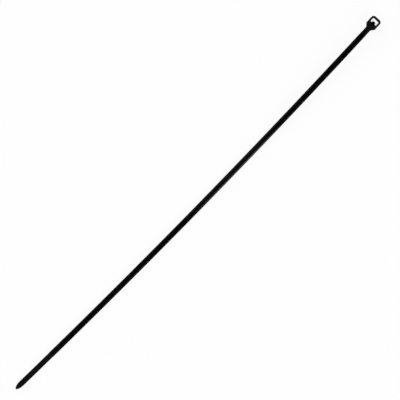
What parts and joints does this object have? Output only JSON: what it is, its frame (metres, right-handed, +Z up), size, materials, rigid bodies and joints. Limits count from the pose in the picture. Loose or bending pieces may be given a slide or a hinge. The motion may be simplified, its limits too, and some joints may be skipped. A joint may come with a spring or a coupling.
{
  "type": "cable tie",
  "caption": "Self-locking nylon cable tie: slotted head with a ratchet pawl, long toothed strap with raised rails, and a smooth pointed tail.",
  "frame": {"origin": "middle of the head's slot, in the plane of the head's exit face, which is the surface the tie lies on", "axes": "+X along the head, away from the strap, so that the tail lies towards -X; +Y across the strap, on the side to which the tail bows; +Z up, from the exit face to the entry face and the toothed side of the strap"},
  "size_m": [0.3132, 0.0138, 0.0048],
  "materials": {
    "black_nylon": "injection-moulded black nylon, polished on the rails and teeth, finely eroded on the head and tail"
  },
  "bodies": {
    "root": {"cable_tie": "black_nylon"}
  },
  "joints": []
}
